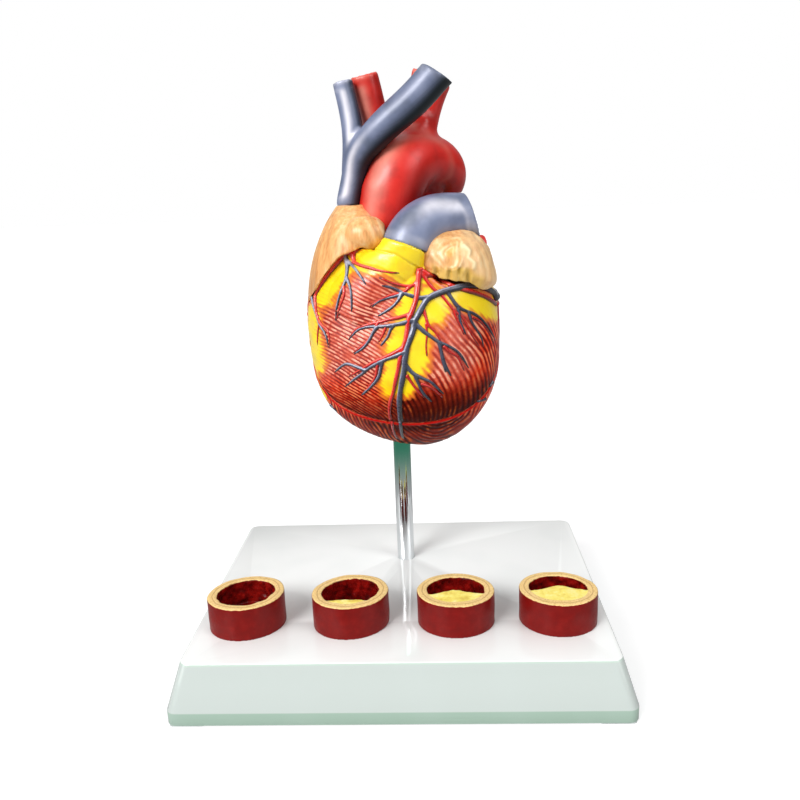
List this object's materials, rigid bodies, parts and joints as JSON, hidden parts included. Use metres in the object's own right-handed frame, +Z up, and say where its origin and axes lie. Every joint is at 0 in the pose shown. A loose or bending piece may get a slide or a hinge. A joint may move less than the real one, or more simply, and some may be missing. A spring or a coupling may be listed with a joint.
{
  "type": "human heart anatomy model",
  "caption": "Two-part human heart model with a lift-off front wall, turning on a steel rod over a base with cross-sections of a narrowing artery.",
  "frame": {"origin": "middle of the base's footprint, on the surface that the feet stand on", "axes": "+Z up along the rod; -Y towards the viewer, where the artery sections and the heart's removable front wall are; +X to the viewer's right"},
  "size_m": [0.2128, 0.1688, 0.2919],
  "materials": {
    "base_plastic": "glossy white moulding",
    "foot_rubber": "matt",
    "rod_chrome": "polished",
    "screw_steel": "satin",
    "insert_brass": "machined",
    "socket_plastic": "matt",
    "heart_muscle": "glossy hand-painted enamel",
    "artery_red": "glossy hand-painted enamel",
    "vein_blue": "glossy hand-painted enamel",
    "atrium_tan": "satin hand-painted enamel",
    "valve_cream": "satin",
    "section_red": "glossy moulding with a cream cut face",
    "magnet": "nickel plated"
  },
  "bodies": {
    "stand": {"base_shell": "base_plastic", "corner_feet": "foot_rubber", "rod": "rod_chrome", "rod_cap": "socket_plastic", "rod_insert": "insert_brass", "rod_washer": "screw_steel", "rod_screw": "screw_steel", "artery_section_1": "section_red", "artery_section_2": "section_red", "artery_section_3": "section_red", "artery_section_4": "section_red", "artery_screws": "screw_steel"},
    "bush": {"socket_bush": "socket_plastic"},
    "heart": {"heart_back": "heart_muscle", "aorta": "artery_red", "superior_vena_cava": "vein_blue", "pulmonary_artery": "vein_blue", "left_atrium": "atrium_tan", "right_atrium": "atrium_tan", "left_auricle": "atrium_tan", "inferior_vena_cava": "vein_blue", "pulmonary_veins_left": "artery_red", "pulmonary_veins_right": "artery_red", "mitral_valve": "valve_cream", "tricuspid_valve": "valve_cream", "aortic_valve": "valve_cream", "papillary_muscles_left": "heart_muscle", "papillary_muscles_right": "heart_muscle", "chordae_left": "valve_cream", "chordae_right": "valve_cream", "locating_pegs": "screw_steel", "back_magnets": "magnet"},
    "wall": {"front_wall": "heart_muscle", "pulmonary_valve": "valve_cream", "front_magnets": "magnet"}
  },
  "joints": [
    {"name": "heart_lift", "type": "slide", "parent": "stand", "child": "bush", "axis": [0, 0, 1], "range_m": [0, 0.05]},
    {"name": "heart_turn", "type": "hinge", "parent": "bush", "child": "heart", "pos_m": [0, 0.03, 0.12], "axis": [0, 0, 1], "continuous": true},
    {"name": "front_wall_pull", "type": "slide", "parent": "heart", "child": "wall", "axis": [0, -1, 0], "range_m": [0, 0.06]}
  ]
}
